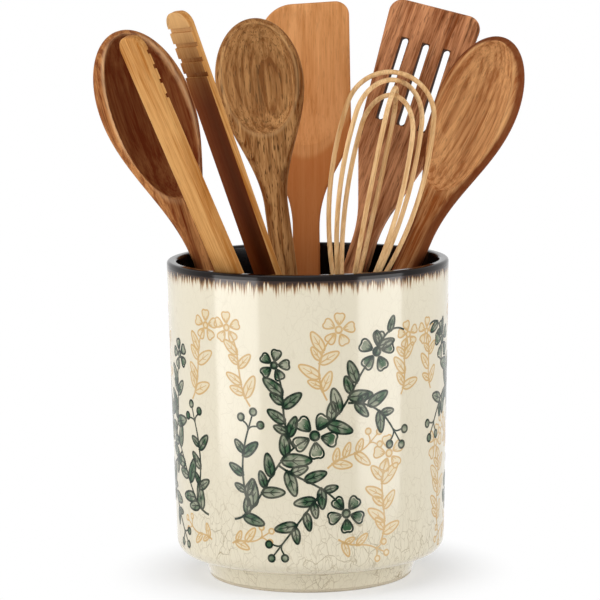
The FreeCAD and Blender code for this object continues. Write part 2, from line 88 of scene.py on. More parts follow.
# The log that each utensil was cut from: place and tilt of its axis, then the grain's figure.
GRAIN = {
    "left_spoon": ((46.0, 40.0, 0.0), (0.06, 0.05, 0.0), 5.0, 0.35, 22.0, 0.5, 0.35),
    "round_spoon": ((10.0, 60.0, 0.0), (-0.05, 0.04, 0.0), 4.5, 0.35, 26.0, 0.65, 0.75),
    "right_spoon": ((-60.0, 26.0, 0.0), (-0.03, 0.04, 0.0), 3.2, 0.35, 14.0, 0.25, 0.35),
    "solid_turner": ((30.0, 120.0, 0.0), (0.03, 0.0, 0.0), 9.0, 0.15, 14.0, 0.05, 0.15),
    "slotted_turner": ((-20.0, 70.0, 0.0), (0.05, 0.04, 0.0), 9.0, 0.25, 26.0, 1.0, 0.45),
    "tongs": ((60.0, 90.0, 0.0), (0.0, 0.0, 0.0), 4.0, 0.12, 5.0, 0.06, 0.15),
    "whisk": ((40.0, 60.0, 0.0), (0.0, 0.0, 0.0), 6.0, 0.15, 6.0, 0.05, 0.20),
}

# Colours of each utensil's wood by area, and what the areas are. The bowl, back, rim, grip, slots, inside and tips
# colours are painted light and shade, laid by where a surface lies, not colours of the wood itself.
WOODS = {
    "left_spoon": {"pale": (0.58, 0.255, 0.088), "dark": (0.14, 0.022, 0.004),
                   "bowl": (0.115, 0.022, 0.005), "rim": (0.85, 0.56, 0.31)},
    "round_spoon": {"pale": (0.56, 0.295, 0.112), "dark": (0.165, 0.048, 0.009), "rim": (0.58, 0.34, 0.15)},
    "right_spoon": {"pale": (0.75, 0.39, 0.16), "dark": (0.29, 0.080, 0.019),
                    "back": (0.15, 0.034, 0.009), "rim": (0.74, 0.40, 0.17)},
    "solid_turner": {"pale": (0.72, 0.34, 0.132), "dark": (0.52, 0.21, 0.066), "grip": (0.42, 0.122, 0.030)},
    "slotted_turner": {"pale": (0.66, 0.295, 0.135), "dark": (0.21, 0.056, 0.016),
                       "slots": (0.035, 0.011, 0.004)},
    "tongs": {"pale": (0.66, 0.345, 0.118), "dark": (0.38, 0.13, 0.020),
              "inside": (0.145, 0.022, 0.003), "tips": (0.76, 0.46, 0.20)},
    "whisk": {"pale": (0.86, 0.575, 0.295), "dark": (0.57, 0.305, 0.12)},
    "wood": {"veins": (0.038, 0.011, 0.004)},
}
# Painted shade: bowl, back, grip, slots and inside; painted light and highlight: rim and tips.
WOOD_AREAS = {
    "pale": "Early wood", "dark": "Late wood", "bowl": "Painted shade in the bowl",
    "back": "Painted shade on the back", "rim": "Painted highlight round the bowl",
    "grip": "Painted shade below the dished blade", "slots": "Painted shade on the slot walls", "inside": "Painted shade between the arms, on the inner faces",
    "tips": "Painted light on the inner faces at the tips", "veins": "Dark veins and pores",
}


def colour(name, default, words):
    return FloatVectorProperty(
        name=name, description=words, subtype="COLOR", size=4, min=0.0, max=1.0, default=(*default, 1.0))


def length(name, default, words):
    return FloatProperty(name=name, description=words, default=default * MM, min=0.0, unit="LENGTH")


def brightness(name, default, words):
    return FloatProperty(name=name, description=words, default=default, min=0.0)


class CrockSettings(bpy.types.PropertyGroup):
    rim_radius: length("Rim radius", 80.0, "Outer radius at the rim")
    height: length("Height", 181.0, "Height of the rim above the table")
    wall: length("Wall", 5.6, "Thickness of the wall at the rim")
    wall_gain: length("Wall gain", 1.0, "How much thicker the wall is at the floor")
    wall_taper: length("Wall taper", 3.8, "How much the wall narrows from rim to foot")
    lip_rounding: length("Lip rounding", 1.7, "Rounding of the lip")
    base_overhang: length("Base overhang", 13.5, "How far the wall's lower corner draws in")
    base_corner_rise: length("Base corner rise", 4.2, "Height of the drawn-in corner")
    base_rounding: length("Base rounding", 8.0, "Rounding of the lower corner, outside and inside")
    edge_rounding: length("Edge rounding", 0.5, "Rounding of the edge above the foot ring")
    foot_height: length("Foot height", 11.2, "Height of the foot ring")
    foot_step: length("Foot step", 1.7, "Step from the base edge to the foot ring")
    foot_taper: length("Foot taper", 3.5, "How far the foot ring draws in toward the table")
    dry_foot: length("Dry foot", 2.0, "Height left without glaze at the foot")
    floor_height: length("Floor height", 17.0, "Height of the inside floor")
    coat: length("Glaze coat", 0.8, "Thickness of the glaze")
    dark_band: length("Dark band", 3.2, "Depth of the dark glaze below the rim")
    around: IntProperty(name="Steps around", description="Segments round the crock", default=288, min=32)
    cream: colour("Cream", (0.78, 0.715, 0.56), "Colour of the outer glaze")
    cream_faded: colour("Faded cream", (0.74, 0.68, 0.53), "Colour of the outer glaze's clouded patches")
    crackle: colour("Crackle", (0.40, 0.32, 0.19), "Colour that has settled in the crackle")
    dark: colour("Dark glaze", (0.004, 0.0025, 0.0025), "Colour of the dark glaze")
    rim_brown: colour("Rim brown", (0.026, 0.009, 0.004), "Dark glaze on the crest and in the strokes")
    rim_tan: colour("Rim tan", (0.47, 0.235, 0.075), "Colour where the dark glaze thins out")
    clay: colour("Clay", (0.60, 0.53, 0.41), "Colour of the dry clay")
    speckle: colour("Speckle", (0.40, 0.32, 0.22), "Colour of the clay's speckle")


class SpraySettings(bpy.types.PropertyGroup):
    line: length("Line width", 1.15, "Width of a drawn line")
    green: colour("Green line", (0.002, 0.016, 0.007), "Colour of the drawn sprays")
    green_wash: colour("Green wash", (0.036, 0.098, 0.042), "Colour washed into leaves and petals")
    tan: colour("Tan line", (0.63, 0.41, 0.175), "Colour of the faint sprays")
    tan_wash: colour("Tan wash", (0.755, 0.635, 0.42), "Colour washed into the faint sprays")
    seed: IntProperty(name="Seed", description="Varies the drawing", default=11, min=0)


class WoodSettings(bpy.types.PropertyGroup):
    __annotations__ = {
        f"{utensil}_{area}": colour(
            f"{utensil} {area}".replace("_", " ").capitalize(), tone,
            f"{WOOD_AREAS[area]} of the {utensil.replace('_', ' ')}")
        for utensil, tones in WOODS.items() for area, tone in tones.items()}


class StageSettings(bpy.types.PropertyGroup):
    panel_power: brightness("Panel power", 17.5, "Strength of each side panel, in watts")
    top_power: brightness("Top power", 6.0, "Strength of the overhead panel, in watts")
    card_glow: brightness("Card glow", 6.2, "Brightness of the cards that show in the gloss")
    sky: brightness("Sky", 0.27, "Strength of the light from all round")
    floor: colour("Floor", (0.86, 0.86, 0.86), "Colour of the floor")


def settings(name):
    return getattr(bpy.context.scene, "crock_" + name)


def wood_tone(utensil, area):
    return getattr(settings("wood"), f"{utensil}_{area}")


# Meshes


def new_object(name, data):
    item = bpy.data.objects.new(name, data)
    bpy.context.scene.collection.objects.link(item)
    return item


def new_mesh(name, points, faces, angle=None, marks=None):
    """An object from arrays of points (metres) and faces, smooth, its faces turned outward.

    Marks are named arrays of one number a point, which the material can read.
    """
    mesh = bpy.data.meshes.new(name)
    mesh.from_pydata(points.reshape(-1, 3).tolist(), [], faces.tolist())
    for label, values in (marks or {}).items():
        attribute = mesh.attributes.new(label, "FLOAT", "POINT")
        attribute.data.foreach_set("value", values.astype(np.float32).ravel())
    return finish_mesh(name, mesh, angle)


def finish_mesh(name, mesh, angle):
    """An object from a mesh, joined up, turned outward and smooth up to an edge angle in degrees."""
    work = bmesh.new()
    work.from_mesh(mesh)
    bmesh.ops.remove_doubles(work, verts=work.verts, dist=1e-7)
    bmesh.ops.dissolve_degenerate(work, edges=work.edges, dist=1e-8)
    if work.calc_volume(signed=True) < 0:
        bmesh.ops.reverse_faces(work, faces=work.faces)
    work.to_mesh(mesh)
    work.free()
    mesh.polygons.foreach_set("use_smooth", np.ones(len(mesh.polygons), dtype=bool))
    if angle is not None:
        mesh.set_sharp_from_angle(angle=math.radians(angle))
    mesh.update()
    return new_object(name, mesh)


def grid_faces(rows, columns, wrap_rows, wrap_columns):
    """Corner numbers of the quads of a grid, joined end to end where it wraps."""
    r = np.arange(rows if wrap_rows else rows - 1)
    c = np.arange(columns if wrap_columns else columns - 1)
    i, j = np.meshgrid(r, c, indexing="ij")
    i2, j2 = (i + 1) % rows, (j + 1) % columns
    corners = [i * columns + j, i * columns + j2, i2 * columns + j2, i2 * columns + j]
    return np.stack(corners, -1).reshape(-1, 4)


def smooth_copy(node, angle):
    """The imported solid's own mesh, joined up and shaded smooth up to an edge angle."""
    return finish_mesh(node + "_wood", frame["nodes"][node].data.copy(), angle)


def sharpen_face(mesh, front, angle):
    """Marks the shallow edges on the front face sharp, where a hollow runs out into it."""
    work = bmesh.new()
    work.from_mesh(mesh)
    front, facing = Vector(front), 0.93
    for edge in work.edges:
        if len(edge.link_faces) == 2 and all(face.normal @ front > facing for face in edge.link_faces):
            edge.smooth = edge.calc_face_angle() < math.radians(angle)
    work.to_mesh(mesh)
    work.free()


def dress(item, body, slot, material, *nodes):
    """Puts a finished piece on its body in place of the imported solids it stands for."""
    item.data.materials.clear()
    item.data.materials.append(material)
    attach(item, body)
    if nodes:
        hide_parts(*nodes)


def node_points(node):
    """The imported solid's points, in metres."""
    mesh = frame["nodes"][node].data
    points = np.empty(len(mesh.vertices) * 3)
    mesh.vertices.foreach_get("co", points)
    return points.reshape(-1, 3)


def stand(utensil, nodes):
    """Origin and axes of a utensil: z along its length, -y out of its face, from its lowest end."""
    foot, facing = STANDS[utensil]
    foot, z = np.array(foot) * MM, AXES[utensil] / np.linalg.norm(AXES[utensil])
    angle = math.radians(facing)
    back = np.array([-math.sin(angle), math.cos(angle), 0.0])
    y = back - z * (back @ z)
    y /= np.linalg.norm(y)
    lowest = min((node_points(node) @ z).min() for node in nodes)
    return foot + z * (lowest - foot @ z), np.stack([np.cross(y, z), y, z])


# Shader nodes


def add(tree, kind, inputs=None, **options):
    """One shader node; inputs are values or the sockets that feed them."""
    node = tree.nodes.new("ShaderNode" + kind)
    for name, value in options.items():
        setattr(node, name, value)
    for key, value in (inputs or {}).items():
        if isinstance(value, bpy.types.NodeSocket):
            tree.links.new(value, node.inputs[key])
        else:
            node.inputs[key].default_value = value
    return node


def calc(tree, operation, *values):
    return add(tree, "Math", dict(enumerate(values)), operation=operation).outputs[0]


def times(tree, product, *factors):
    for factor in factors:
        product = calc(tree, "MULTIPLY", product, factor)
    return product


def ramp(tree, value, low, high, start=0.0, end=1.0):
    """A smooth step from start to end as the value goes from low to high."""
    return add(tree, "MapRange", {0: value, 1: low, 2: high, 3: start, 4: end},
               interpolation_type="SMOOTHSTEP").outputs[0]


def blend(tree, share, first, second):
    return add(tree, "Mix", {0: share, 6: first, 7: second}, data_type="RGBA").outputs[2]


def stretch(tree, vector, scale):
    return add(tree, "VectorMath", {0: vector, 1: scale}, operation="MULTIPLY").outputs[0]


def noise(tree, vector, scale, detail=2.0, roughness=0.5):
    return add(tree, "TexNoise", {"Vector": stretch(tree, vector, scale), "Scale": 1.0, "Detail": detail,
                                  "Roughness": roughness}).outputs["Fac"]


def new_group(name, inputs, outputs):
    group = bpy.data.node_groups.new(name, "ShaderNodeTree")
    for label, kind in inputs:
        group.interface.new_socket(name=label, in_out="INPUT", socket_type=kind)
    for label, kind in outputs:
        group.interface.new_socket(name=label, in_out="OUTPUT", socket_type=kind)
    return group, group.nodes.new("NodeGroupInput").outputs, group.nodes.new("NodeGroupOutput").inputs


def wood_grain():
    """Wood cut from a log: rings about the log's axis, fibres along it, pores and dark veins.

    The vector is in millimetres with Z along the grain and the log's axis through the origin.
    """
    if "wood_grain" in bpy.data.node_groups:
        return bpy.data.node_groups["wood_grain"]
    scalar, tint = "NodeSocketFloat", "NodeSocketColor"
    tones, figure = [(label, tint) for label in GRAIN_TONES], [(label, scalar) for label in GRAIN_FIGURE]
    group, given, out = new_group(
        "wood_grain", [("Vector", "NodeSocketVector"), *tones, *figure], [("Color", tint), ("Height", scalar)])
    vector = given["Vector"]
    flat = stretch(group, vector, (1.0, 1.0, 0.0))
    radius = add(group, "VectorMath", {0: flat}, operation="LENGTH").outputs["Value"]
    wander = calc(group, "SUBTRACT", noise(group, vector, (0.035, 0.035, 0.009), 3.0), 0.5)
    turns = calc(group, "DIVIDE", calc(group, "MULTIPLY_ADD", wander, given["Wander"], radius), given["Ring"])
    saw = calc(group, "FRACT", turns)
    ring = times(group, ramp(group, saw, 0.35, 0.92), ramp(group, saw, 0.92, 1.0, 1.0, 0.0))
    fibre = noise(group, vector, (1.1, 1.1, 0.022), 3.0, 0.6)
    strand = noise(group, vector, (0.34, 0.34, 0.008), 2.0, 0.55)
    cloud = noise(group, vector, (0.07, 0.07, 0.014), 3.0, 0.6)
    share = times(group, ring, given["Rings"])
    for texture, high, least, most in ((fibre, 0.68, -0.12, 0.30), (strand, 0.68, -0.12, 0.42),
                                       (cloud, 0.70, -0.15, 0.42)):
        share = calc(group, "ADD", share, ramp(group, texture, 0.32, high, least, most))
    tone = blend(group, add(group, "Clamp", {0: share}).outputs[0], given["Pale"], given["Dark"])
    streak = ramp(group, noise(group, vector, (0.17, 0.17, 0.007), 4.0, 0.65), 0.56, 0.70)
    veined = blend(group, times(group, streak, given["Veins"]), tone, given["Vein"])
    dash = ramp(group, noise(group, vector, (1.5, 1.5, 0.14), 1.0), 0.58, 0.68)
    pores = times(group, dash, given["Pores"])
    group.links.new(blend(group, pores, veined, given["Vein"]), out["Color"])
    group.links.new(calc(group, "SUBTRACT", times(group, fibre, 0.4), pores), out["Height"])
    return group


def log_frame(tree, place, log, tilt):
    """Object coordinates turned to millimetres along a utensil, and those about the axis of its log."""
    origin, axes = place
    turned = Matrix([[float(v) for v in row] for row in axes]).transposed().to_euler()
    coordinates = add(tree, "TexCoord").outputs["Object"]
    along = add(tree, "Mapping", {"Vector": coordinates, "Location": origin, "Rotation": turned,
                                  "Scale": (MM, MM, MM)}, vector_type="TEXTURE").outputs[0]
    return along, add(tree, "Mapping", {"Vector": along, "Location": log, "Rotation": tilt},
                      vector_type="TEXTURE").outputs[0]


def new_material(name, **sockets):
    material = bpy.data.materials.new(name)
    material.use_nodes = True
    shader = material.node_tree.nodes["Principled BSDF"]
    for label, value in sockets.items():
        shader.inputs[label.replace("_", " ")].default_value = value
    return material, material.node_tree, shader


def set_colour(tree, tone):
    tree.links.new(tone, tree.nodes["Principled BSDF"].inputs["Base Color"])


def wood(name, utensil, place):
    """Oiled wood of a utensil; returns the material, its tree, the colour and the place along it."""
    material, tree, shader = new_material(name, Roughness=0.62, IOR=1.42, Specular_IOR_Level=0.06)
    log, tilt, *figure = GRAIN[utensil]
    along, vector = log_frame(tree, place, log, tilt)
    grain = add(tree, "Group", node_tree=wood_grain())
    tree.links.new(vector, grain.inputs["Vector"])
    tones = wood_tone(utensil, "pale"), wood_tone(utensil, "dark"), wood_tone("wood", "veins")
    for label, value in zip(GRAIN_TONES + GRAIN_FIGURE, (*tones, *figure)):
        grain.inputs[label].default_value = value
    bump = add(tree, "Bump", {"Strength": 0.25, "Distance": 0.3 * MM, "Height": grain.outputs["Height"]})
    tree.links.new(bump.outputs[0], shader.inputs["Normal"])
    set_colour(tree, grain.outputs["Color"])
    return material, tree, grain.outputs["Color"], along


# Crock


def rounded_profile(corners, steps=10):
    """Points along a closed outline of (radius, height, rounding) corners, each rounding an arc."""
    points = []
    count = len(corners)
    for i, (r, z, radius) in enumerate(corners):
        corner = np.array([r, z])
        if radius == 0:
            points.append(corner[None])
            continue
        before, after = [np.array(corners[(i + k) % count][:2]) - corner for k in (-1, 1)]
        before, after = before / np.linalg.norm(before), after / np.linalg.norm(after)
        half = math.acos(np.clip(before @ after, -1, 1)) / 2
        middle = (before + after) / np.linalg.norm(before + after)
        centre = corner + middle * radius / math.sin(half)
        start = corner + before * radius / math.tan(half) - centre
        end = corner + after * radius / math.tan(half) - centre
        t = np.linspace(0, 1, steps)[:, None]
        spread = math.pi - 2 * half
        arc = (start * np.sin((1 - t) * spread) + end * np.sin(t * spread)) / math.sin(spread)
        points.append(centre + arc)
    return np.vstack(points)


def turned_shell(name, profile, around):
    """A closed profile (radius, height) carried round the Z axis: (r cos a, r sin a, z)."""
    a = np.arange(around) * 2 * math.pi / around
    r, z = profile[:, 0], profile[:, 1]
    points = np.stack([np.outer(r, np.cos(a)), np.outer(r, np.sin(a)), np.outer(z, np.ones(around))], -1)
    return new_mesh(name, points, grid_faces(len(profile), around, True, True), angle=40)


def crock_lines():
    """The crock's main radii and heights, in metres."""
    s = settings("sizes")
    base = s.rim_radius - s.wall_taper
    edge = base - s.base_overhang
    corner = s.foot_height + s.base_corner_rise
    band = s.height - s.dark_band
    share = (band - corner) / (s.height - corner)
    foot_top = edge - s.foot_step
    foot_end = foot_top - s.foot_taper
    return SimpleNamespace(
        base=base, edge=edge, corner=corner, band=band, band_radius=base + s.wall_taper * share,
        foot_top=foot_top, dry_radius=foot_end + s.foot_taper * s.dry_foot / s.foot_height,
        bore=s.rim_radius - s.wall, bore_end=base - s.wall - s.wall_gain)


def wall_radius(z):
    """Outer radius of the straight wall at height z."""
    s, at = settings("sizes"), crock_lines()
    return at.base + s.wall_taper * (z - at.corner) / (s.height - at.corner)


def glaze_height(tree):
    """Object coordinates, and the height above the table in millimetres."""
    coordinates = add(tree, "TexCoord").outputs["Object"]
    scaled = stretch(tree, coordinates, (1 / MM, 1 / MM, 1 / MM))
    return scaled, add(tree, "SeparateXYZ", {0: scaled}).outputs[2]


def cream_material():
    """Cream glaze: crackle lines that thicken toward the foot, and a brushed brown edge under the rim."""
    s = settings("sizes")
    material, tree, _ = new_material("cream_glaze", Roughness=0.13, IOR=1.5, Specular_IOR_Level=0.36)
    vector, height = glaze_height(tree)
    wobble = add(tree, "TexNoise", {"Vector": vector, "Scale": 0.12, "Detail": 2.0}).outputs["Color"]
    bend = (5.0, 5.0, 5.0)
    bent = add(tree, "VectorMath", {0: wobble, 1: bend, 2: vector}, operation="MULTIPLY_ADD").outputs[0]
    coarse, fine = [
        ramp(tree, add(tree, "TexVoronoi", {"Vector": stretch(tree, bent, scale), "Scale": 1.0},
                       feature="DISTANCE_TO_EDGE").outputs["Distance"], 0.0, width, strength, 0.0)
        for scale, width, strength in (((0.17, 0.17, 0.085), 0.03, 1.0), ((0.38, 0.38, 0.12), 0.05, 0.65))]
    lines = calc(tree, "MAXIMUM", coarse, fine)
    patch = ramp(tree, noise(tree, vector, (0.03, 0.03, 0.02), 2.0), 0.35, 0.65, 0.25, 1.0)
    crackle_full, crackle_faint = 18.0, 70.0
    cracked = times(tree, lines, patch, ramp(tree, height, crackle_full, crackle_faint, 1.0, 0.18))
    fade = ramp(tree, noise(tree, vector, (0.02, 0.02, 0.012), 3.0), 0.3, 0.7, 0.0, 0.16)
    body = blend(tree, fade, s.cream, s.cream_faded)
    body = blend(tree, cracked, body, s.crackle)
    band = (s.height - s.dark_band) / MM
    below = calc(tree, "SUBTRACT", band, height)
    brush = noise(tree, vector, (1.0, 1.0, 0.010), 3.0, 0.75)
    broad = noise(tree, vector, (0.10, 0.10, 0.010), 2.0)
    shortest, longest = 0.3, 9.5
    stroke = ramp(tree, brush, 0.30, 0.72, shortest, longest)
    reach = times(tree, stroke, ramp(tree, broad, 0.3, 0.7, 0.75, 1.2))
    tan = ramp(tree, calc(tree, "DIVIDE", below, calc(tree, "ADD", reach, 0.6)), 0.55, 1.0, 0.9, 0.0)
    brown = ramp(tree, calc(tree, "DIVIDE", below, reach), 0.20, 0.95, 1.0, 0.0)
    body = blend(tree, tan, body, s.rim_tan)
    set_colour(tree, blend(tree, brown, body, s.rim_brown))
    return material


def dark_material():
    """Glossy black-brown glaze, a little browner where it runs thin on the rim's crest."""
    s = settings("sizes")
    material, tree, _ = new_material("dark_glaze", Roughness=0.12, IOR=1.5, Specular_IOR_Level=0.17)
    vector, height = glaze_height(tree)
    crest, worn_depth = s.height / MM, 8.0
    thin = ramp(tree, height, crest - worn_depth, crest, 0.0, 0.22)
    lighter_share = times(tree, thin, noise(tree, vector, (0.25, 0.25, 0.25), 3.0))
    set_colour(tree, blend(tree, lighter_share, s.dark, s.rim_brown))
    return material


def stoneware_material():
    """Dry fired clay with fine speckle."""
    s = settings("sizes")
    material, tree, _ = new_material("stoneware", Roughness=0.85)
    vector, _ = glaze_height(tree)
    speck = ramp(tree, noise(tree, vector, (1.2, 1.2, 1.2), 3.0), 0.55, 0.75)
    set_colour(tree, blend(tree, speck, s.clay, s.speckle))
    return material


class CROCK_OT_pot(bpy.types.Operator):
    """Turn the crock and its two coats of glaze"""
    bl_idname = "crock.pot"
    bl_label = "Crock"

    def execute(self, context):
        s, at = settings("sizes"), crock_lines()
        c, base, edge, corner = s.coat, at.base, at.edge, at.corner
        bend, lip, axis = s.base_rounding, s.lip_rounding, 0.02 * MM
        under = [
            (at.dry_radius - c, s.dry_foot, 0), (at.foot_top - c, s.foot_height + c, 0),
            (edge - c, s.foot_height + c, 0), (base - c, corner + c, bend),
            (at.band_radius - c, at.band, 0),
        ]
        outside = [
            (at.band_radius, at.band, 0), (base, corner, bend), (edge, s.foot_height, s.edge_rounding),
            (at.foot_top, s.foot_height, 0), (at.dry_radius, s.dry_foot, 0),
        ]
        cream = turned_shell("cream_glaze", rounded_profile(under + outside), s.around)
        dress(cream, "crock", "cream_glaze", cream_material(), "crackle_glaze")
        liner = [
            (at.band_radius - c, at.band, 0), (s.rim_radius - c, s.height - c, lip - c),
            (at.bore + c, s.height - c, lip - c), (at.bore_end + c, s.floor_height - c, bend + c),
            (axis, s.floor_height - c, 0), (axis, s.floor_height, 0), (at.bore_end, s.floor_height, bend),
            (at.bore, s.height, lip), (s.rim_radius, s.height, lip), (at.band_radius, at.band, 0),
        ]
        dark = turned_shell("dark_glaze", rounded_profile(liner), s.around)
        dress(dark, "crock", "dark_glaze", dark_material(), "liner_glaze")
        clay = smooth_copy("stoneware_body", 35)
        dress(clay, "crock", "stoneware", stoneware_material(), "stoneware_body")
        return {"FINISHED"}


# Painted sprays


OUTLINE_STEPS = 24
# How far the paint reaches into the glaze, in millimetres.
SUNK = -0.3


def curve(points, steps):
    """A cubic Bezier through four control points (across, up), sampled evenly in its parameter."""
    t = np.linspace(0, 1, steps)[:, None]
    p = np.array(points, float)
    return (1 - t) ** 3 * p[0] + 3 * (1 - t) ** 2 * t * p[1] + 3 * (1 - t) * t ** 2 * p[2] + t ** 3 * p[3]


def turn(points, angle, origin):
    c, s = math.cos(angle), math.sin(angle)
    return points @ np.array([[c, s], [-s, c]]) + origin


def toward(angle):
    return np.array([math.cos(angle), math.sin(angle)])


def straight(start, end, steps, angle, origin):
    return turn(np.stack([np.linspace(start, end, steps), np.zeros(steps)], 1), angle, origin)


def leaf_outline(origin, angle, long, wide):
    """Almond outline: along = L(1 - cos t)/2, across = W/2 sin t, drawn out to a point."""
    t = np.linspace(0, 2 * math.pi, OUTLINE_STEPS)
    along = long * (1 - np.cos(t)) / 2
    across = wide / 2 * np.sin(t) * (1.15 - 0.45 * along / long)
    return turn(np.stack([along, across], 1), angle, origin)


def petal_outline(origin, angle, long, wide):
    """Petal outline, narrow at its root and notched at its tip."""
    t = np.linspace(0, 2 * math.pi, OUTLINE_STEPS)
    along = long * ((1 - np.cos(t)) / 2) ** 0.8 * (1 - 0.10 * np.exp(-((t - math.pi) / 0.35) ** 2))
    across = wide / 2 * np.sin(t) * (0.45 + 0.55 * along / long)
    return turn(np.stack([along, across], 1), angle, origin)


def ring_line(origin, radius):
    t = np.linspace(0, 2 * math.pi, OUTLINE_STEPS)
    return np.stack([np.cos(t), np.sin(t)], 1) * radius + origin


class Drawing:
    """Lines (points, half width) and washes (closed outlines) on the unrolled wall, in millimetres."""

    def __init__(self, half_width, rng):
        self.half_width, self.rng = half_width, rng
        self.lines, self.washes = [], []

    def line(self, points, weight=1.0, taper=0.0):
        t = np.linspace(0, 1, len(points))
        self.lines.append((points, self.half_width * weight * (1 - taper * t)))

    def blossom(self, centre, size, start, petals=5):
        for k in range(petals):
            angle = start + k * 2 * math.pi / petals + self.rng.uniform(-0.08, 0.08)
            root = centre + size * 0.15 * toward(angle)
            self.line(petal_outline(root, angle, size * 0.38, size * 0.40))
            self.washes.append(petal_outline(root, angle, size * 0.33, size * 0.31))
            for side in (-0.35, 0.35):
                self.line(straight(size * 0.02, size * 0.17, 10, angle + side, root), 0.75, 0.6)
        self.line(ring_line(centre, size * 0.10), 1.2)
        self.washes.append(ring_line(centre, size * 0.08))

    def leaf(self, origin, angle, long, wide):
        self.line(leaf_outline(origin, angle, long, wide), 1.05)
        self.washes.append(leaf_outline(origin, angle, long * 0.97, wide * 0.92))
        self.line(straight(-1.0, long * 0.8, 12, angle, origin), 0.95, 0.6)
        root = origin + long * 0.34 * toward(angle)
        for side in (-0.6, 0.6):
            self.line(straight(0, long * 0.24, 8, angle + side, root), 0.6, 0.5)

    def berries(self, origin, angle, size, count=3):
        for k in range(count):
            spread = angle + (k - (count - 1) / 2) * 0.8
            reach = size * (1.7 + 0.7 * (k % 2))
            end = origin + reach * toward(spread)
            near = origin + reach * 0.5 * toward(angle)
            self.line(curve([origin, near, (near + end) / 2, end], 12), 0.85)
            centre = end + size * 0.5 * toward(spread)
            self.line(ring_line(centre, size * 0.50))
            self.washes.append(ring_line(centre, size * 0.42))

    def stem(self, control, leaves, leaf_length, end, end_size):
        """A curved stem with leaves set alternately along it, and a blossom or berries at its end."""
        path = curve(control, steps=40)
        self.line(path, 1.15, 0.2)
        way = np.gradient(path, axis=0)
        heading = np.arctan2(way[:, 1], way[:, 0])
        for k in range(leaves):
            i = int(5 + k * 30 / leaves)
            hand = 1 if k % 2 else -1
            long = leaf_length * self.rng.uniform(0.85, 1.15)
            self.leaf(path[i], heading[i] + hand * self.rng.uniform(0.70, 1.0), long, long * 0.46)
            if k % 2 == 0:
                self.leaf(path[i + 2], heading[i + 2] - hand * 0.85, long * 0.7, long * 0.36)
        if end == "blossom":
            centre = path[-1] + 0.22 * end_size * toward(heading[-1])
            self.blossom(centre, end_size, heading[-1] + math.pi / 5)
        elif end == "berries":
            self.berries(path[-1], heading[-1], end_size)


# Stems of one repeat: four control points, number and length of the leaves, what ends it and its size.
VINE = (
    (((10, 44), (28, 46), (32, 80), (54, 90)), 5, 15.0, "blossom", 25.0),
    (((60, 96), (78, 102), (80, 122), (92, 134)), 4, 14.0, "blossom", 22.0),
    (((38, 76), (52, 66), (64, 66), (74, 52)), 3, 13.0, "blossom", 21.0),
    (((47, 86), (38, 102), (44, 114), (38, 128)), 4, 13.0, "blossom", 17.0),
    (((78, 110), (90, 110), (98, 106), (106, 94)), 3, 12.5, "berries", 4.2),
    (((20, 52), (14, 68), (16, 82), (20, 94)), 3, 12.0, "berries", 4.0),
    (((62, 60), (54, 50), (48, 42), (40, 32)), 3, 11.5, "berries", 3.8),
    (((94, 136), (100, 148), (106, 152), (114, 148)), 2, 10.0, "none", 0.0),
)
FAINT = (
    (((98, 30), (106, 44), (94, 60), (102, 76)), 5, 13.0, "blossom", 20.0),
    (((66, 112), (58, 126), (62, 140), (70, 148)), 4, 12.0, "blossom", 18.0),
    (((112, 112), (118, 122), (112, 134), (116, 142)), 3, 11.0, "blossom", 15.0),
    (((22, 108), (12, 120), (18, 138), (10, 148)), 4, 12.0, "blossom", 17.0),
    (((72, 34), (80, 28), (86, 32), (94, 28)), 2, 9.0, "berries", 3.2),
    (((66, 74), (74, 82), (84, 80), (90, 86)), 3, 10.0, "berries", 3.4),
    (((8, 30), (14, 34), (20, 30), (26, 34)), 2, 9.0, "berries", 3.0),
)


def on_wall(points, lift):
    """Unrolled (across, up) millimetres to the wall: angle = across / rim radius, pushed out by lift."""
    s = settings("sizes")
    z = points[..., 1] * MM
    r = wall_radius(z) + lift * MM
    a = points[..., 0] * MM / s.rim_radius - math.pi / 2
    return np.stack([r * np.cos(a), r * np.sin(a), z], -1)


def line_mesh(name, lines, lift):
    """Flat-topped closed strips: corners left and right of the line at each step, above and in the glaze."""
    points, faces, offset = [], [], 0
    for path, half in lines:
        along = np.gradient(path, axis=0)
        along /= np.linalg.norm(along, axis=1)[:, None] + 1e-9
        side = np.stack([-along[:, 1], along[:, 0]], 1) * half[:, None]
        left, right = path + side, path - side
        sides = ((left, lift), (right, lift), (right, SUNK), (left, SUNK))
        corners = np.stack([on_wall(edge, height) for edge, height in sides], 1)
        count = len(path)
        faces.append(grid_faces(count, 4, False, True) + offset)
        first, last = offset + np.arange(4)[::-1], offset + (count - 1) * 4 + np.arange(4)
        faces.append(np.stack([first, last]))
        points.append(corners.reshape(-1, 3))
        offset += count * 4
    return new_mesh(name, np.vstack(points), np.vstack(faces), angle=30)


def wash_mesh(name, washes, lift):
    """Thin plates: rings of each outline drawn in toward its middle, over a sunken copy of the outline."""
    points, faces, offset = [], [], 0
    for outline in washes:
        loop = outline[:-1] if np.allclose(outline[0], outline[-1]) else outline
        middle = loop.mean(axis=0)
        rings = [on_wall(middle + (loop - middle) * k, lift) for k in (0.05, 0.35, 0.7, 1.0)]
        rings += [on_wall(middle + (loop - middle) * k, SUNK) for k in (1.0, 0.05)]
        count = len(loop)
        faces.append(grid_faces(len(rings), count, True, True) + offset)
        points.append(np.vstack(rings))
        offset += count * len(rings)
    return new_mesh(name, np.vstack(points), np.vstack(faces), angle=30)


def paint_material(name, tone, share):
    """Painted colour under the glaze, uneven where the brush ran thin."""
    s = settings("sizes")
    material, tree, _ = new_material(name, Roughness=0.13, IOR=1.5, Specular_IOR_Level=0.18)
    vector, _ = glaze_height(tree)
    thin = ramp(tree, noise(tree, vector, (0.16, 0.16, 0.16), 2.0), 0.35, 0.7, 0.0, share)
    set_colour(tree, blend(tree, thin, tone, s.cream))
    return material


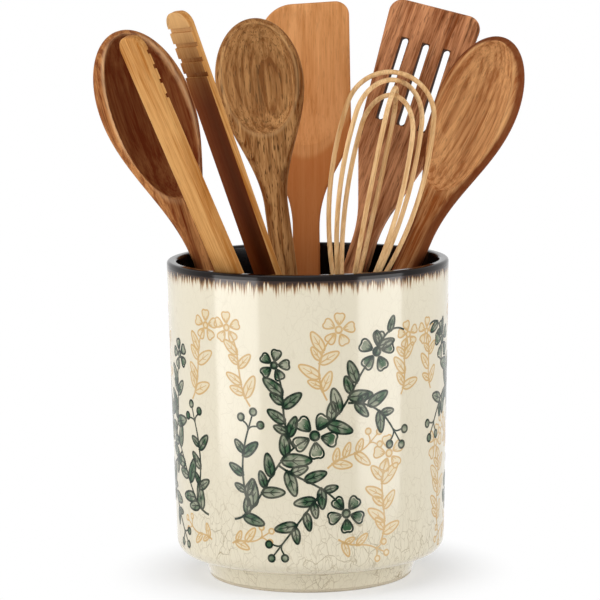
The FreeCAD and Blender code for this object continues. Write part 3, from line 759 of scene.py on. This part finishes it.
class CROCK_OT_sprays(bpy.types.Operator):
    """Paint green leaf sprays over faint tan ones round the wall"""
    bl_idname = "crock.sprays"
    bl_label = "Painted sprays"

    def execute(self, context):
        look, s = settings("sprays"), settings("sizes")
        rng = np.random.default_rng(look.seed)
        half = look.line / MM / 2
        repeats, shift, faint, step = 4, -56.0, 0.8, 0.02
        wide = 2 * math.pi * s.rim_radius / MM / repeats
        green, tan = Drawing(half, rng), Drawing(half * faint, rng)
        for k in range(repeats):
            for drawing, stems in ((green, VINE), (tan, FAINT)):
                for control, *rest in stems:
                    points = np.array(control, float)
                    if k % 2:
                        points[:, 0] = wide - points[:, 0]
                    drawing.stem(points + (k * wide + shift, 0.0), *rest)
        for name, drawing, line, wash, lift in (
                ("green", green, look.green, look.green_wash, 0.10),
                ("tan", tan, look.tan, look.tan_wash, 0.05)):
            lines = line_mesh(name + "_lines", drawing.lines, lift)
            dress(lines, "crock", "cream_glaze", paint_material(name + "_line", line, 0.12))
            washes = wash_mesh(name + "_washes", drawing.washes, lift - step)
            dress(washes, "crock", "cream_glaze", paint_material(name + "_wash", wash, 0.45))
        return {"FINISHED"}


# Utensils


def soft_least(first, second, radius):
    """The lesser of two values, eased over where they lie within a radius of each other."""
    gap = np.clip(radius - np.abs(first - second), 0, None) / radius
    return np.minimum(first, second) - gap ** 3 * radius / 6


def spoon_surface(size, around=240):
    """Carved spoon about its own Z: x = a cos t, y = b sin t with half width a(z) and half depth b(z).

    In front, y stops softly at the flat face, and the bowl is an ellipsoid sunk into that face:
    y = max(-min(face, b sin t), bowl), both rounded over by a small radius. Also gives, from 0 to 1, how
    deep each point lies in the bowl, how near its lip, and how far round to the outside.
    """
    w, g, wide = size.grip[0] / 2, size.grip[1] / 2, size.width / 2
    widest = size.length - size.tip
    neck, butt, swell = widest - size.flare, 0.8 * g, 0.1
    p = np.linspace(0, math.pi / 2, 14)[:-1]
    low_z, low_a, low_b = butt - butt * np.cos(p), (1 + swell) * w * np.sin(p), g * np.sin(p)
    z1 = np.linspace(butt, neck, 60)[:-1]
    a1 = w * (1 + swell - swell * (z1 - butt) / (neck - butt))
    h = np.linspace(0, 1, 110)[:-1]
    share = (1 - np.cos(math.pi * h)) / 2
    z2 = neck + size.flare * h
    a2, b2 = w + (wide - w) * share, g + (size.depth - g) * share
    q = np.linspace(0, math.pi / 2, 90)
    z3, a3, b3 = widest + size.tip * np.sin(q), wide * np.cos(q), size.depth * np.cos(q)
    z = np.concatenate([low_z, z1, z2, z3])[:, None]
    a = np.concatenate([low_a, a1, a2, a3])[:, None]
    b = np.concatenate([low_b, np.full(len(z1), g), b2, b3])[:, None]

    t = np.arange(around) * 2 * math.pi / around
    x, depth = a * np.cos(t), b * np.sin(t)
    face, edge, ease = g + 0.4, 1.6, 0.3
    front = soft_least(-depth, np.full_like(depth, face), edge)
    half_face = wide * math.sqrt(1 - (face / size.depth) ** 2) - size.lip
    half_bowl = size.bowl_length / 2
    centre = size.length - size.bowl_top - half_bowl
    inside = 1 - (x / half_face) ** 2 - ((z - centre) / half_bowl) ** 2
    bowl = face - size.bowl_depth * np.sign(inside) * np.sqrt(np.abs(inside))
    carved = soft_least(front, bowl, ease)
    in_front, clear_of_bowl = np.sin(t) < 0, inside < -0.3
    y = np.where(in_front, np.where(clear_of_bowl, -front, -carved), depth)

    # Masks for the painted light and shade: the hollow of the bowl, the outside away from the face, and the lip
    # where a highlight is painted.
    full_depth, lip_middle, lip_reach, neck_spread = 4, -0.07, 0.13, 1.3
    hollow = np.where(in_front & (inside > 0), np.clip((y + face) / full_depth, 0, 1), 0.0)
    outside = np.where(in_front & (inside > 0), 0.0, np.clip((y + face - ease) / edge, 0, 1))
    beside = np.where(z < centre, np.clip(neck_spread * np.abs(x) / half_face, 0, 1) ** 2, 1.0)
    near_lip = np.clip(1 - np.abs(inside - lip_middle) / lip_reach, 0, 1)
    rim = np.where(in_front, near_lip, 0.0) * (1 - outside)
    rim = rim * (beside + (1 - beside) * size.neck_lip)
    marks = {"hollow": hollow, "outside": outside, "rim": rim}
    return np.stack([x, y, np.broadcast_to(z, x.shape)], -1), marks


def frame_slot(node):
    return next(part["material_slot"] for part in frame["record"]["subparts"] if part["node"] == node)


def spoon(node, bowl, back, rim):
    """One carved spoon; bowl, back and rim are the (colour, share) laid over the grain there, as painted light and
    shade: in the hollow, on the outside, and as a painted highlight on the lip.
    """
    place = origin, axes = stand(node, [node])
    local, marks = spoon_surface(SPOONS[node])
    faces = grid_faces(*local.shape[:2], False, True)
    item = new_mesh(node + "_carved", local * MM @ axes + origin, faces, marks=marks)
    slot = frame_slot(node)
    material, tree, tone, _ = wood(slot, node, place)
    for label, (area, share) in (("hollow", bowl), ("outside", back), ("rim", rim)):
        mark = add(tree, "Attribute", attribute_name=label).outputs["Fac"]
        tone = blend(tree, times(tree, mark, share), tone, wood_tone(node, area))
    set_colour(tree, tone)
    dress(item, node, slot, material, node)


class CROCK_OT_spoons(bpy.types.Operator):
    """Carve the three spoons"""
    bl_idname = "crock.spoons"
    bl_label = "Spoons"

    def execute(self, context):
        # Painted light and shade on each spoon, as (tone, share) for the bowl, the outside and the lip: painted
        # shade in the left bowl and on the round and right spoons' outsides, a little painted light in the other
        # bowls and on the left spoon's outside, and a painted highlight on every lip.
        spoon("left_spoon", ("bowl", 0.75), ("pale", 0.15), ("rim", 0.50))
        spoon("round_spoon", ("pale", 0.20), ("dark", 0.40), ("rim", 0.45))
        spoon("right_spoon", ("pale", 0.20), ("back", 0.90), ("rim", 0.65))
        return {"FINISHED"}


class CROCK_OT_turners(bpy.types.Operator):
    """Finish the two turners"""
    bl_idname = "crock.turners"
    bl_label = "Turners"

    def execute(self, context):
        place = stand("solid_turner", ["solid_turner"])
        material, tree, tone, along = wood("pear_wood", "solid_turner", place)
        # Painted shade below the edge of the dished blade, fading up the blade.
        set_colour(tree, blend(tree, self.grip(tree, along), tone, wood_tone("solid_turner", "grip")))
        turner = smooth_copy("solid_turner", 32)
        sharpen_face(turner.data, -place[1][1], 4)
        dress(turner, "solid_turner", "pear_wood", material, "solid_turner")
        place = stand("slotted_turner", ["slotted_turner"])
        material, tree, tone, along = wood("red_wood", "slotted_turner", place)
        # Painted shade on the walls of the slots.
        walls = self.painted_slot_shade(tree, along)
        set_colour(tree, blend(tree, walls, tone, wood_tone("slotted_turner", "slots")))
        dress(smooth_copy("slotted_turner", 32), "slotted_turner", "red_wood", material, "slotted_turner")
        return {"FINISHED"}

    def grip(self, tree, along):
        """How much painted shade darkens the wood: below the dished blade's edge, and fading up it."""
        bow, blade_start, blade_end = 28.0, 217.5, 295.0
        across, _, height = add(tree, "SeparateXYZ", {0: along}).outputs
        drop = calc(tree, "DIVIDE", times(tree, across, across), bow)
        level = calc(tree, "SUBTRACT", height, drop)
        return calc(tree, "ADD", ramp(tree, level, blade_start - 5.0, blade_start, 0.50, 0.0),
                    ramp(tree, height, 232.0, blade_end, 0.28, 0.0))

    def painted_slot_shade(self, tree, along):
        """How much painted shade darkens the walls of the three slots, by distance to the nearest slot's middle.
        """
        spacing, half, low, high, soft = 13.0, 2.3, 246.0, 296.0, 0.5
        across, _, height = add(tree, "SeparateXYZ", {0: along}).outputs
        shifted = calc(tree, "FLOORED_MODULO", calc(tree, "ADD", across, spacing / 2), spacing)
        off = calc(tree, "ABSOLUTE", calc(tree, "SUBTRACT", shifted, spacing / 2))
        wall = ramp(tree, off, half + 0.05, half + 0.25, 0.85, 0.0)
        end = spacing + half + soft
        outer = ramp(tree, calc(tree, "ABSOLUTE", across), end, end + soft, 1.0, 0.0)
        above, below = ramp(tree, height, low - soft, low), ramp(tree, height, high, high + soft, 1.0, 0.0)
        return times(tree, wall, outer, above, below)


class CROCK_OT_tongs(bpy.types.Operator):
    """Finish the tongs, with painted shade on their inner faces below the grooves and painted light on them near
    the tips
    """
    bl_idname = "crock.tongs"
    bl_label = "Tongs"

    def execute(self, context):
        arms = {"tongs_left_arm": "tongs_left", "tongs_right_arm": "tongs_right"}
        place = stand("tongs", ["tongs_heel", *arms])
        plain = wood("bamboo", "tongs", place)[0]
        dress(smooth_copy("tongs_heel", 25), "tongs", "bamboo", plain, "tongs_heel")
        material, tree, tone, along = wood("bamboo_arms", "tongs", place)
        height = add(tree, "SeparateXYZ", {0: along}).outputs[2]
        inside = add(tree, "Attribute", attribute_name="inside").outputs["Fac"]
        # Painted shade where each arm's inner face is shaded by the other, strongest low down.
        shade_end, tip, lit_start, lit_end = 262.0, 316.0, 285.0, 312.0
        inner_shade = times(tree, inside, ramp(tree, height, shade_end, tip, 0.92, 0.0))
        # Painted light on the inner faces near the tips.
        lighter_share = times(tree, inside, ramp(tree, height, lit_start, lit_end, 0.0, 0.65))
        tone = blend(tree, lighter_share, tone, wood_tone("tongs", "tips"))
        set_colour(tree, blend(tree, inner_shade, tone, wood_tone("tongs", "inside")))
        for node, body in arms.items():
            arm = smooth_copy(node, 25)
            self.mark_inside(arm.data, place)
            dress(arm, body, "bamboo", material, node)
        return {"FINISHED"}

    def mark_inside(self, mesh, place):
        """Stores 1 on the faces turned toward the other arm, 0 elsewhere."""
        (origin, axes), facing = place, 0.8
        count = len(mesh.polygons)
        centres, normals = np.empty(count * 3), np.empty(count * 3)
        mesh.polygons.foreach_get("center", centres)
        mesh.polygons.foreach_get("normal", normals)
        across = (centres.reshape(-1, 3) - origin) @ axes[0]
        inward = -np.sign(across) * (normals.reshape(-1, 3) @ axes[0])
        attribute = mesh.attributes.new("inside", "FLOAT", "FACE")
        attribute.data.foreach_set("value", (inward > facing).astype(np.float32))


class CROCK_OT_whisk(bpy.types.Operator):
    """Finish the whisk's handle and loops"""
    bl_idname = "crock.whisk"
    bl_label = "Whisk"

    def execute(self, context):
        loops = [f"whisk_loop_{k + 1}" for k in range(4)]
        place = stand("whisk", ["whisk_handle", *loops])
        material = wood("beech", "whisk", place)[0]
        for node in ("whisk_handle", *loops):
            dress(smooth_copy(node, 32), "whisk", "beech", material, node)
        return {"FINISHED"}


# Stage


class CROCK_OT_stage(bpy.types.Operator):
    """Set the white floor, the soft panels and the camera"""
    bl_idname = "crock.stage"
    bl_label = "Stage"

    def execute(self, context):
        look = settings("stage")
        scene = context.scene
        scene.view_settings.view_transform = "Standard"
        self.world(scene, look)
        self.floor(look)
        azimuth, panel_away, card_away = 60, 1.4, 1.2
        panel_height, panel_size, uneven = 0.25, (0.95, 1.5), 0.04
        card_wide, card_low, card_high, skew = 0.87, -0.26, 0.40, 0.03
        for side, name in ((-1, "left"), (1, "right")):
            power = look.panel_power * (1 - uneven * side)
            lit = self.panel(name + "_panel", azimuth * side, panel_away, panel_height, panel_size, power)
            lit.visible_glossy = False
            size = card_wide, card_low - skew * side, card_high
            self.card(name + "_card", azimuth * side, card_away, size, look.card_glow)
        top = self.lamp("top_panel", (1.2, 0.9), look.top_power)
        top.location = (-0.3, -0.5, 1.5)
        self.aim(top, 0.15)
        self.camera(scene)
        return {"FINISHED"}

    def world(self, scene, look):
        """White to the eye and in reflections, a softer light on everything else."""
        world = bpy.data.worlds.new("white_room")
        world.use_nodes = True
        scene.world = world
        tree = world.node_tree
        path = add(tree, "LightPath").outputs
        seen = calc(tree, "MAXIMUM", path["Is Camera Ray"],
                    calc(tree, "MAXIMUM", path["Is Glossy Ray"], path["Is Transmission Ray"]))
        strength = calc(tree, "MULTIPLY_ADD", seen, 1.0 - look.sky, look.sky)
        tree.links.new(strength, tree.nodes["Background"].inputs["Strength"])
        tree.nodes["Background"].inputs["Color"].default_value = (1, 1, 1, 1)

    def floor(self, look):
        """A pale floor that keeps the shadow near the crock and runs out to white around it."""
        reach = 12.0
        corners = ((-1, -1), (1, -1), (1, 1), (-1, 1))
        item = self.sheet("floor", [(x * reach, y * reach, 0) for x, y in corners])
        tree = item.data.materials[0].node_tree
        path = add(tree, "LightPath").outputs
        coordinates = add(tree, "TexCoord").outputs["Object"]
        away = add(tree, "VectorMath", {0: coordinates}, operation="LENGTH").outputs["Value"]
        paper = add(tree, "BsdfDiffuse", {"Color": look.floor}).outputs[0]
        white = add(tree, "Emission", {"Color": (1, 1, 1, 1), "Strength": 1.0}).outputs[0]
        glow = times(tree, path["Is Camera Ray"], ramp(tree, away, 0.062, 0.120, 0.50, 1.0))
        seen = add(tree, "MixShader", {0: glow, 1: paper, 2: white}).outputs[0]
        clear = add(tree, "BsdfTransparent").outputs[0]
        passed = calc(tree, "MAXIMUM", path["Is Glossy Ray"], path["Is Transmission Ray"])
        shader = add(tree, "MixShader", {0: passed, 1: seen, 2: clear}).outputs[0]
        tree.links.new(shader, tree.nodes["Material Output"].inputs["Surface"])

    def lamp(self, name, size, power):
        data = bpy.data.lights.new(name, "AREA")
        data.shape = "RECTANGLE"
        data.size, data.size_y = size
        data.energy = power
        item = new_object(name, data)
        item.visible_camera = False
        return item

    def panel(self, name, azimuth, distance, height, size, power):
        """A tall soft panel that faces the crock's axis, azimuth turned from the front toward +X."""
        item = self.lamp(name, size, power)
        a = math.radians(azimuth)
        item.location = (distance * math.sin(a), -distance * math.cos(a), height)
        self.aim(item, height)
        return item

    def aim(self, item, height):
        """Turns a lamp toward a height on the crock's axis."""
        item.rotation_euler = (Vector((0, 0, height)) - item.location).to_track_quat("-Z", "Y").to_euler()

    def card(self, name, azimuth, distance, size, glow):
        """A bright upright sheet that shows only in glossy surfaces: width, lower and upper edge."""
        wide, low, high = size
        a = math.radians(azimuth)
        out = np.array([math.sin(a), -math.cos(a), 0.0])
        across = np.array([math.cos(a), math.sin(a), 0.0])
        corners = [out * distance + across * wide * side / 2 + (0, 0, z)
                   for side, z in ((-1, low), (1, low), (1, high), (-1, high))]
        item = self.sheet(name, corners)
        material, tree = item.data.materials[0], item.data.materials[0].node_tree
        material.cycles.emission_sampling = "NONE"
        light = add(tree, "Emission", {"Color": (1, 1, 1, 1), "Strength": glow}).outputs[0]
        tree.links.new(light, tree.nodes["Material Output"].inputs["Surface"])
        item.visible_camera = item.visible_diffuse = item.visible_shadow = item.visible_transmission = False

    def sheet(self, name, corners):
        """A flat stage piece with an empty material of its own."""
        mesh = bpy.data.meshes.new(name)
        mesh.from_pydata([tuple(corner) for corner in corners], [], [(0, 1, 2, 3)])
        item = new_object(name, mesh)
        material = bpy.data.materials.new(name)
        material.use_nodes = True
        material.node_tree.nodes.remove(material.node_tree.nodes["Principled BSDF"])
        mesh.materials.append(material)
        return item

    def camera(self, scene):
        data = bpy.data.cameras.new("camera")
        data.sensor_width = 36.0
        data.lens = 186.34
        data.shift_x = -0.01353
        item = new_object("camera", data)
        place, pitch, roll = (0.0, -1.75, 0.39369), 0.1345, -0.0104
        item.matrix_world = (Matrix.Translation(place) @ Matrix.Rotation(math.pi / 2 - pitch, 4, "X")
                             @ Matrix.Rotation(roll, 4, "Z"))
        scene.camera = item


class CROCK_PT_panel(bpy.types.Panel):
    bl_label = "Utensil Crock"
    bl_idname = "CROCK_PT_panel"
    bl_space_type = "VIEW_3D"
    bl_region_type = "UI"
    bl_category = "Crock"

    def draw(self, context):
        for operator in OPERATORS:
            self.layout.operator(operator.bl_idname)


GROUPS = {"sizes": CrockSettings, "sprays": SpraySettings, "wood": WoodSettings, "stage": StageSettings}
OPERATORS = (CROCK_OT_pot, CROCK_OT_sprays, CROCK_OT_spoons, CROCK_OT_turners, CROCK_OT_tongs, CROCK_OT_whisk,
             CROCK_OT_stage)


def register():
    for item in (*GROUPS.values(), *OPERATORS, CROCK_PT_panel):
        bpy.utils.register_class(item)
    for name, group in GROUPS.items():
        setattr(bpy.types.Scene, "crock_" + name, PointerProperty(type=group))


def unregister():
    for name in GROUPS:
        delattr(bpy.types.Scene, "crock_" + name)
    for item in (CROCK_PT_panel, *reversed(OPERATORS), *reversed(list(GROUPS.values()))):
        bpy.utils.unregister_class(item)


def main():
    register()
    bpy.ops.crock.pot()
    bpy.ops.crock.sprays()
    bpy.ops.crock.spoons()
    bpy.ops.crock.turners()
    bpy.ops.crock.tongs()
    bpy.ops.crock.whisk()
    bpy.ops.crock.stage()
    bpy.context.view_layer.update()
    solids = np.vstack([node_points(node) for node in frame["nodes"]])


if __name__ == "__main__":
    main()
